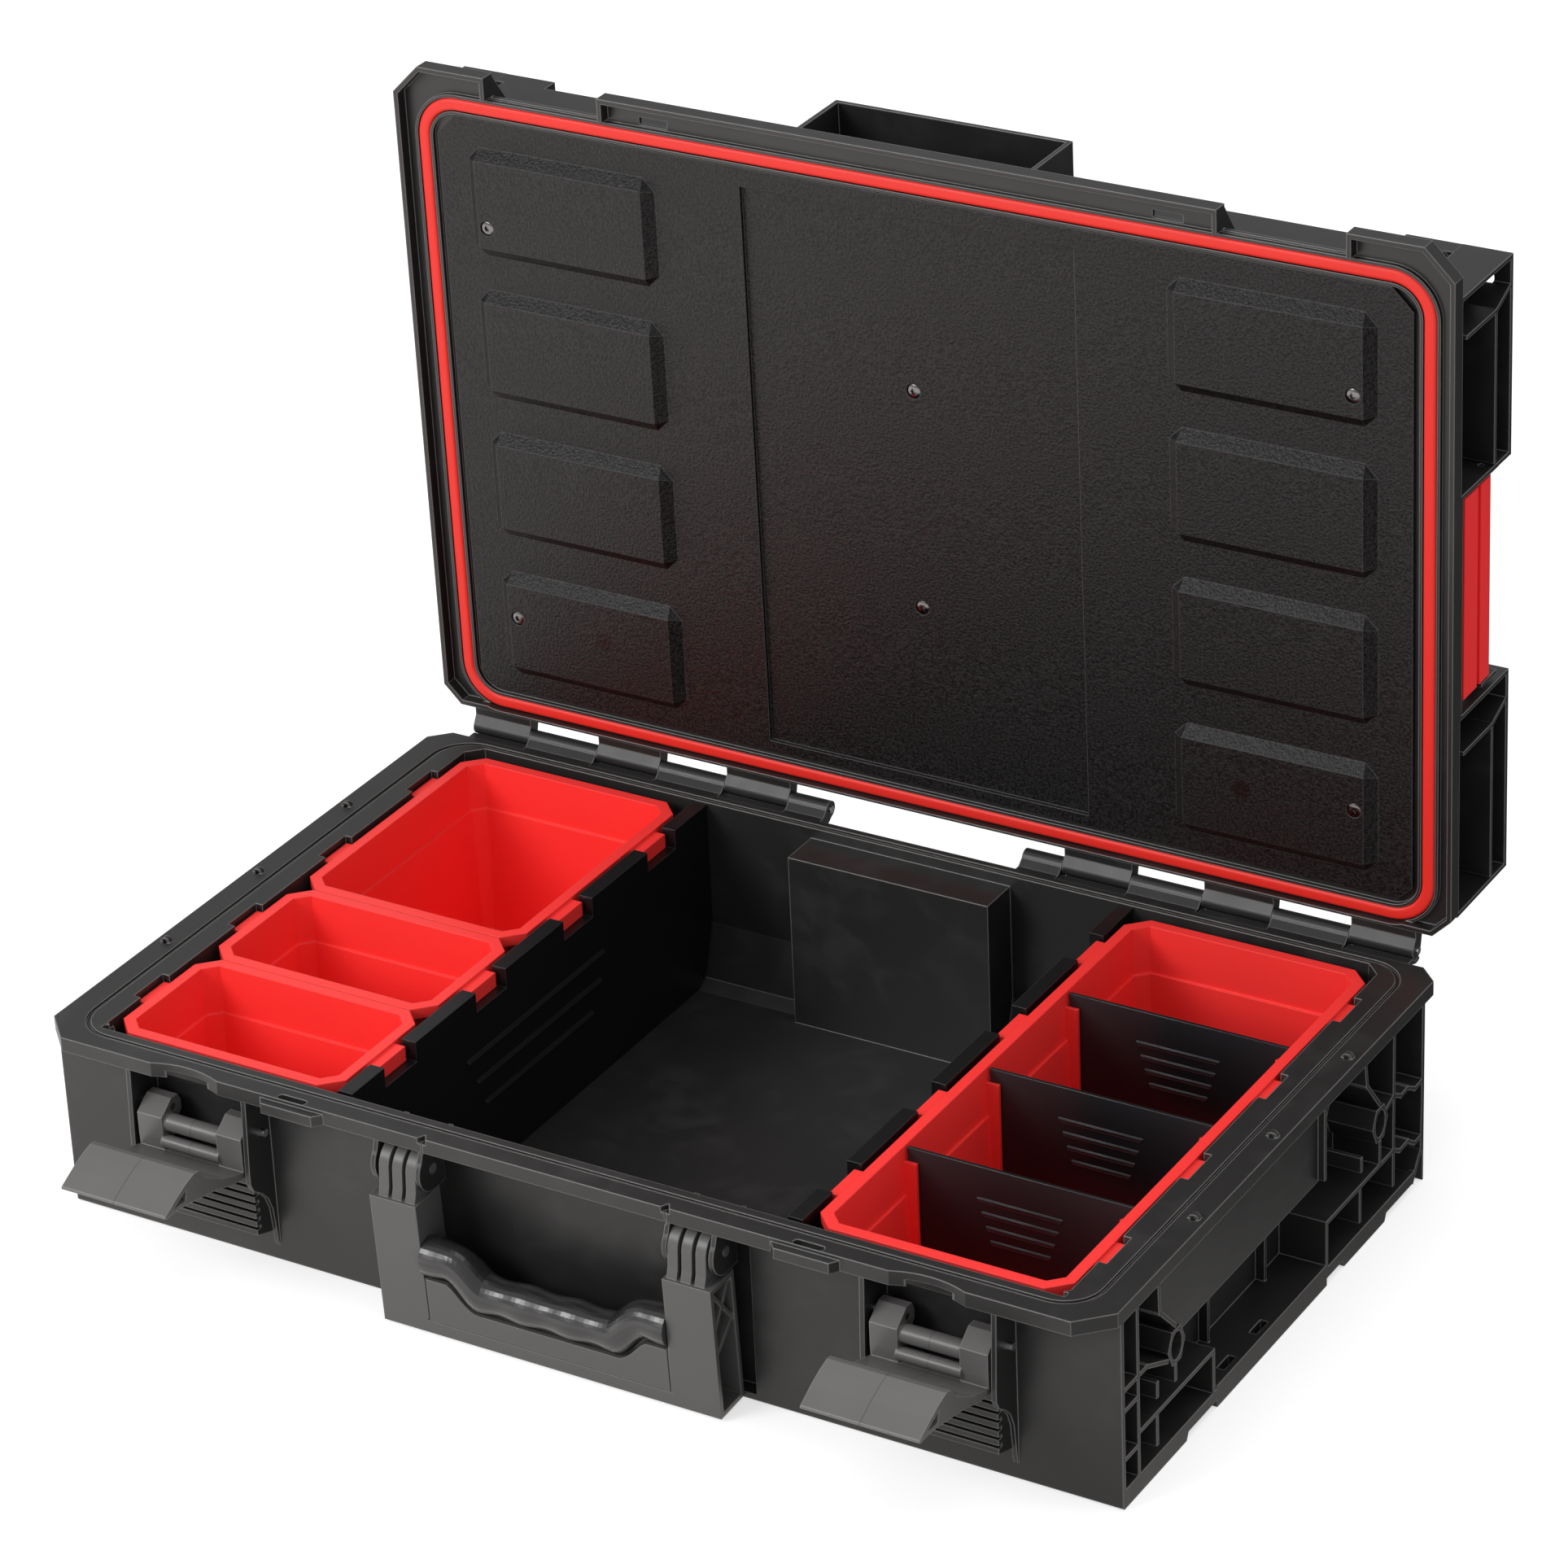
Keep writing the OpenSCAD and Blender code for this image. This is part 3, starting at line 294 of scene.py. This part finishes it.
for node in ("divider_front", "divider_middle", "divider_back"):
    low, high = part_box(node)
    foot = [corner.co.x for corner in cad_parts[node].data.vertices if corner.co.z < low[2] + FOOT_BAND]
    face_y, middle = low[1] + BAR_OUT, (low[0] + high[0]) / 2.0
    plate = bmesh.new()
    slab(plate, ((min(foot), face_y, low[2]), (max(foot), face_y, low[2]),
                 (high[0], face_y, high[2]), (low[0], face_y, high[2])), high[1] - face_y, EDGE_BREAK)
    for bar in range(BARS):
        top, half = high[2] - BAR_DROP - bar * BAR_PITCH, BAR_HALF - bar * BAR_TAPER
        slab(plate, ((middle - half + BAR_H / 2, low[1], top - BAR_H),
                     (middle + half - BAR_H / 2, low[1], top - BAR_H),
                     (middle + half, low[1], top), (middle - half, low[1], top)),
             BAR_OUT + EDGE_BREAK, EDGE_BREAK)
    bmesh.ops.recalc_face_normals(plate, faces=plate.faces)
    divider = made(node + "_plate", plate, node, divider_plastic)
    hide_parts(node)

# ---- Hinge cradles -----------------------------------------------------------
# Ledges of the base's rim that run back under the lid's three knuckles on each side
# and cup them. They are moulded with the tub, so they share its texture.

LEAVES = ((0.0803, 0.1182), (0.1588, 0.1967), (0.2393, 0.2737))
CUP_IN, CUP_OUT = 0.0051, 0.0069
CUP_START, CUP_END, LIP_END, CUP_STEP = 212, 300, 236, 8
LEDGE_BACK, LEDGE_TOP, LEDGE_LOW = -0.0118, -0.0027, -0.0062


def arc(radius, turns):
    """Points, y and z, round the hinge's axis, one for each turn in degrees."""
    return [(radius * cos(radians(turn)), radius * sin(radians(turn))) for turn in turns]


pin_low, pin_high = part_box("hinge_pin_right")
axis_y, axis_z = (pin_low[1] + pin_high[1]) / 2.0, (pin_low[2] + pin_high[2]) / 2.0
section = [(LEDGE_BACK, LEDGE_LOW), (LEDGE_BACK, LEDGE_TOP)]
section += arc(CUP_IN, range(CUP_START, CUP_END + 1, CUP_STEP))
section += arc(CUP_OUT, range(CUP_END, LIP_END - 1, -CUP_STEP))
cradles = bmesh.new()
for side in (-1.0, 1.0):
    for near, far in LEAVES:
        corners = [cradles.verts.new((side * near, axis_y + y, axis_z + z)) for y, z in section]
        pulled(cradles, [cradles.faces.new(corners)], (side * (far - near), 0.0, 0.0))
bmesh.ops.recalc_face_normals(cradles, faces=cradles.faces)
hinge_cradles = made("hinge_cradles", cradles, "base", case_plastic)

# ---- Lid ---------------------------------------------------------------------
# One moulding with the lid's skirt, front flange, corner housings and hinge
# knuckles, from a tool with the same spark texture as the base's.

# painted shade: the lid's black is a darker copy of the base's, for the shade on its deep walls
LID_BLACK_SHADED = (0.0135, 0.0130, 0.0128)
lid_plastic = moulded("lid_plastic", LID_BLACK_SHADED, 0.40, grain_mm=0.7, grain_depth=0.03, edge=0.9,
                      edge_highlight=20.0, scuff=0.32)
dress(lid_plastic, "lid_shell")

# ---- Liner -------------------------------------------------------------------
# A second black moulding, screwed to the inside of the lid, with a coarse
# leather-like grain. Its eight pads stand further out than in the CAD solid, with
# wider slopes, and two ejector pins left their discs on the lowest pads.

LINER_BLACK = (0.0095, 0.0088, 0.0088)
EJECTOR_MARKS = ((-0.1876, 0.1781), (0.1806, 0.1776))
PAD_PROUD, PAD_SLOPE = 0.0014, 0.0024
PAD_CROWN, PAD_RIM = 2e-4, 0.002
PAD_GAPS = (0.2237, 0.3029, 0.3827)
PAD_ROWS = len(PAD_GAPS) + 1
FACE_ON = -0.9
liner_plastic = moulded("liner_plastic", LINER_BLACK, 0.42, grain_mm=1.4, grain_depth=0.8, edge=0.9,
                        edge_highlight=9.0, cloud=0.16, speckle=0.8, specular=0.3, marks=EJECTOR_MARKS)

liner = merged("lid_liner", whole=False)
fronts = [face for face in liner.faces if face.normal.y < FACE_ON]
inwards = max(fronts, key=lambda face: face.calc_area()).normal.copy()
crown = max(corner.co.dot(inwards) for corner in liner.verts)
pads = [[] for pad in range(2 * PAD_ROWS)]
for corner in liner.verts:
    if corner.co.dot(inwards) > crown - PAD_CROWN:
        row = sum(corner.co.z > gap for gap in PAD_GAPS)
        pads[PAD_ROWS * (corner.co.x > 0.0) + row].append(corner)
for pad in pads:
    low_x, high_x = min(corner.co.x for corner in pad), max(corner.co.x for corner in pad)
    low_z, high_z = min(corner.co.z for corner in pad), max(corner.co.z for corner in pad)
    for corner in pad:
        corner.co += inwards * PAD_PROUD
        corner.co.x += PAD_SLOPE * ((corner.co.x < low_x + PAD_RIM) - (corner.co.x > high_x - PAD_RIM))
        corner.co.z += PAD_SLOPE * ((corner.co.z < low_z + PAD_RIM) - (corner.co.z > high_z - PAD_RIM))
lid_lining = made("lid_lining", liner, "lid", liner_plastic, smooth=False)
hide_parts("lid_liner")

# ---- Seal --------------------------------------------------------------------
# A soft red rubber cord with a rounded face, pressed into the lid's channel all
# the way round the liner.

SEAL_RED = (0.84, 0.024, 0.014)
SEAL_ROUND = 0.0021
SIDE_ON = -0.5
seal_rubber = moulded("seal_rubber", SEAL_RED, 0.50, grain_mm=0.6, grain_depth=0.01, edge=0.4,
                      edge_highlight=1.02, cloud=0.03)

bead = merged("lid_seal")
shoulders = [edge for edge in bead.edges if len(edge.link_faces) == 2
             and min(face.normal.y for face in edge.link_faces) < FACE_ON
             and max(face.normal.y for face in edge.link_faces) > SIDE_ON]
bmesh.ops.bevel(bead, geom=shoulders, offset=SEAL_ROUND, offset_type="OFFSET", affect="EDGES", segments=6,
                profile=0.5, material=-1)
seal_bead = made("seal_bead", bead, "lid", seal_rubber)
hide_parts("lid_seal")

# ---- Bins --------------------------------------------------------------------
# Four thin-walled bins of bright red polypropylene, satin inside and out. Their
# lugs sit in the rim's notches and over the partitions, and they lift out.

BIN_RED = (0.97, 0.040, 0.036)
bin_plastic = moulded("bin_plastic", BIN_RED, 0.42, grain_mm=1.4, grain_depth=0.01, edge=0.9,
                      edge_highlight=1.08, cloud=0.03, specular=0.4)
dress(bin_plastic, "bin_front", "bin_middle", "bin_back", "bin_long")

# ---- Side clips --------------------------------------------------------------
# Red clips on the lid's sides, each swinging on a steel pin. They are moulded
# like the bins, with a shallower grain.

CLIP_RED = (0.92, 0.018, 0.020)
clip_plastic = moulded("clip_plastic", CLIP_RED, 0.48, grain_mm=2.0, grain_depth=0.004, edge=0.8,
                       edge_highlight=1.05, cloud=0.03, specular=0.25)
dress(clip_plastic, "side_clip_left", "side_clip_right")

# ---- Latches and handle ------------------------------------------------------
# The levers and the handle's frame are dark grey glass-filled nylon. A parting
# line runs down the middle of each lever, and the grip is a black, glossy sleeve
# on the frame's core.

LEVER_GREY = (0.118, 0.114, 0.112)
LATCH_SEAMS = [sum(corner[0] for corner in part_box(node)) / 2.0 for node in ("latch_left", "latch_right")]
lever_plastic = moulded("lever_plastic", LEVER_GREY, 0.36, grain_mm=0.9, grain_depth=0.02, edge=0.8,
                        edge_highlight=2.4, cloud=0.16, seams=LATCH_SEAMS)
dress(lever_plastic, "latch_left", "latch_right")
HANDLE_GREY = (0.088, 0.0855, 0.084)
handle_plastic = moulded("handle_plastic", HANDLE_GREY, 0.40, grain_mm=0.9, grain_depth=0.02, edge=0.8,
                         edge_highlight=2.2, cloud=0.12)
dress(handle_plastic, "handle_frame")
GRIP_GREY = (0.024, 0.0232, 0.0236)
grip_plastic = moulded("grip_plastic", GRIP_GREY, 0.24, grain_mm=3.0, grain_depth=0.006, edge=0.8,
                       edge_highlight=1.2, coat=0.36)
dress(grip_plastic, "handle_grip")

# ---- Pins --------------------------------------------------------------------
# Zinc-plated steel wire, cut to length and pressed into the bores of the hinge,
# the latches, the handle and the clips.

PIN_STEEL = (0.66, 0.67, 0.69)
WIRE_SCALE, WIRE_DEPTH, WIRE_ROUGH = 900.0, 0.00002, 0.15


def plated(name, colour, roughness):
    """Plated or blackened steel with a fine uneven surface."""
    material = bpy.data.materials.new(name)
    port = emptied(material)
    place = port.node("TexCoord", out=3)
    marks = port.node("TexNoise", inputs={"Vector": place, "Scale": WIRE_SCALE, "Detail": 3.0})
    tint = blended(port, marks, shade(colour, 0.82), shade(colour, 1.08))
    relief = port.node("Bump", inputs={"Strength": 0.4, "Distance": WIRE_DEPTH, "Height": marks})
    shader = port.node("BsdfPrincipled", inputs={
        "Base Color": tint, "Metallic": 1.0, "Roughness": (roughness + marks * WIRE_ROUGH).clamp(),
        "Normal": relief})
    port.node("OutputMaterial", inputs={"Surface": shader})
    return material


pin_steel = plated("pin_steel", PIN_STEEL, 0.22)
dress(pin_steel, "latch_pin_left", "latch_pin_right", "handle_pin_left", "handle_pin_right",
      "hinge_pin_left", "hinge_pin_right", "clip_pin_left", "clip_pin_right")

# ---- Liner screws ------------------------------------------------------------
# Six blackened screws with low domed heads and six-lobed recesses, sunk in the
# liner. Each head is turned from a disc, inset by inset, on the CAD screw's place.

SCREW_STEEL = (0.17, 0.165, 0.165)
HEAD_R, HEAD_H, HEAD_SIDES = 0.0036, 0.0010, 48
DOME_H, DOME_RIM, RIM_SHARE, CAP_SHARE = 0.0005, 0.0007, 0.7, 0.3
DRIVE_R, DRIVE_DEPTH, DRIVE_LOBES, LOBE_DEPTH = 0.0015, 0.0011, 6, 0.16
SEAT_ON, DOME_SUNK = -0.95, 0.8
PADS_FROM_X = 0.1
screw_steel = plated("screw_steel", SCREW_STEEL, 0.14)


def screw_head(work, seat):
    """A domed head with a lobed recess that faces -Y, its underside at seat."""
    part = bmesh.new()
    bmesh.ops.create_circle(part, cap_ends=True, segments=HEAD_SIDES, radius=HEAD_R)
    disc = part.faces[:]
    _, cap = pulled(part, disc, (0.0, 0.0, HEAD_H))
    bmesh.ops.delete(part, geom=disc, context="FACES")
    for inset, share in ((DOME_RIM, RIM_SHARE), (HEAD_R - DOME_RIM - DRIVE_R, CAP_SHARE)):
        bmesh.ops.inset_region(part, faces=cap, thickness=inset, depth=0.0, use_even_offset=True)
        bmesh.ops.translate(part, verts=cap[0].verts, vec=(0.0, 0.0, DOME_H * share))
    for corner in cap[0].verts:
        lobe = 1.0 + LOBE_DEPTH * cos(DRIVE_LOBES * atan2(corner.co.y, corner.co.x))
        corner.co.x *= lobe
        corner.co.y *= lobe
    pulled(part, cap, (0.0, 0.0, -DRIVE_DEPTH))
    bmesh.ops.delete(part, geom=cap, context="FACES_ONLY")
    upended = Matrix.Translation(seat) @ Matrix.Rotation(radians(90.0), 4, "X")
    bmesh.ops.transform(part, verts=part.verts, matrix=upended)
    bmesh.ops.recalc_face_normals(part, faces=part.faces)
    turned = bpy.data.meshes.new("turned")
    part.to_mesh(turned)
    part.free()
    work.from_mesh(turned)
    bpy.data.meshes.remove(turned)


screws = merged("liner_screws")
seats = [face.calc_center_median() for face in screws.faces
         if face.normal.y < SEAT_ON and face.calc_area() > pi * DRIVE_R * HEAD_R]
screws.free()
heads = bmesh.new()
for seat in seats:
    proud = PAD_PROUD if abs(seat.x) > PADS_FROM_X else 0.0
    screw_head(heads, seat + Vector((0.0, HEAD_H + DOME_H * DOME_SUNK - proud, 0.0)))
screw_heads = made("screw_heads", heads, "lid", screw_steel)
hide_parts("liner_screws")

# ---- Studio ------------------------------------------------------------------
# A pale floor and an even white surround, with a soft lamp in front on the left
# and a weaker one overhead. The floor glows for the camera, and its reflection is
# brightest to the front left, so that the right-hand side falls into shade.

FLOOR_SIZE, FLOOR_DROP = 8.0, 0.0005
FLOOR_GREY, FLOOR_GLOW = 0.6, 0.62
BRIGHT_SIDE, BRIGHT_REACH = (-0.62, -0.78, 0.0), 0.35
SHEEN_RISE, SHEEN_LEAST = 1.7, 0.12
SKY, SKY_SWING = 0.75, 0.25

floor_mesh = bpy.data.meshes.new("floor")
sheet = bmesh.new()
bmesh.ops.create_grid(sheet, x_segments=1, y_segments=1, size=FLOOR_SIZE)
sheet.to_mesh(floor_mesh)
sheet.free()
floor = bpy.data.objects.new("floor", floor_mesh)
floor.location = (0.0, 0.0, -FLOOR_DROP)
bpy.context.scene.collection.objects.link(floor)

paper = bpy.data.materials.new("floor_paper")
port = emptied(paper)
seen = port.node("LightPath", out=0)
mirrored = port.node("LightPath", out=3)
through = port.node("LightPath", out=6)
forward = port.node("VectorMath", {"operation": "DOT_PRODUCT"}, {
    0: port.node("TexCoord", out=3), 1: BRIGHT_SIDE}, out=1)
bright = (forward + BRIGHT_REACH).clamp()
matt = port.node("BsdfDiffuse", inputs={"Color": (FLOOR_GREY, FLOOR_GREY, FLOOR_GREY, 1.0)})
glow = port.node("Emission", inputs={
    "Color": (1.0, 1.0, 1.0, 1.0), "Strength": (seen + through).clamp() * FLOOR_GLOW})
sheen = port.node("Emission", inputs={
    "Color": (1.0, 0.97, 0.95, 1.0), "Strength": bright * SHEEN_RISE + SHEEN_LEAST})
both = port.node("AddShader", inputs={0: matt, 1: glow})
paper_shader = port.node("MixShader", inputs={0: mirrored, 1: both, 2: sheen})
port.node("OutputMaterial", inputs={"Surface": paper_shader})
floor_mesh.materials.append(paper)

world = bpy.data.worlds.new("surround")
bpy.context.scene.world = world
port = emptied(world)
seen = port.node("LightPath", out=0)
mirrored = port.node("LightPath", out=3)
strength = seen * SKY_SWING - mirrored * SKY_SWING + SKY
surround = port.node("Background", inputs={"Color": (1.0, 1.0, 1.0, 1.0), "Strength": strength})
port.node("OutputWorld", inputs={"Surface": surround})


def softbox(name, at, aim, size, power):
    """A rectangular lamp with a diffuser, turned towards a point."""
    light = bpy.data.lights.new(name, "AREA")
    light.shape = "RECTANGLE"
    light.size, light.size_y = size
    light.energy = power
    lamp = bpy.data.objects.new(name, light)
    lamp.location = at
    lamp.rotation_euler = (Vector(aim) - Vector(at)).to_track_quat("-Z", "Y").to_euler()
    bpy.context.scene.collection.objects.link(lamp)


softbox("key_lamp", at=(-1.6, -2.6, 1.9), aim=(0.0, -0.1, 0.15), size=(1.6, 1.2), power=60.0)
softbox("top_lamp", at=(0.2, 0.3, 2.6), aim=(0.0, 0.0, 0.1), size=(2.2, 1.6), power=14.0)

bpy.context.scene.view_settings.view_transform = "Standard"
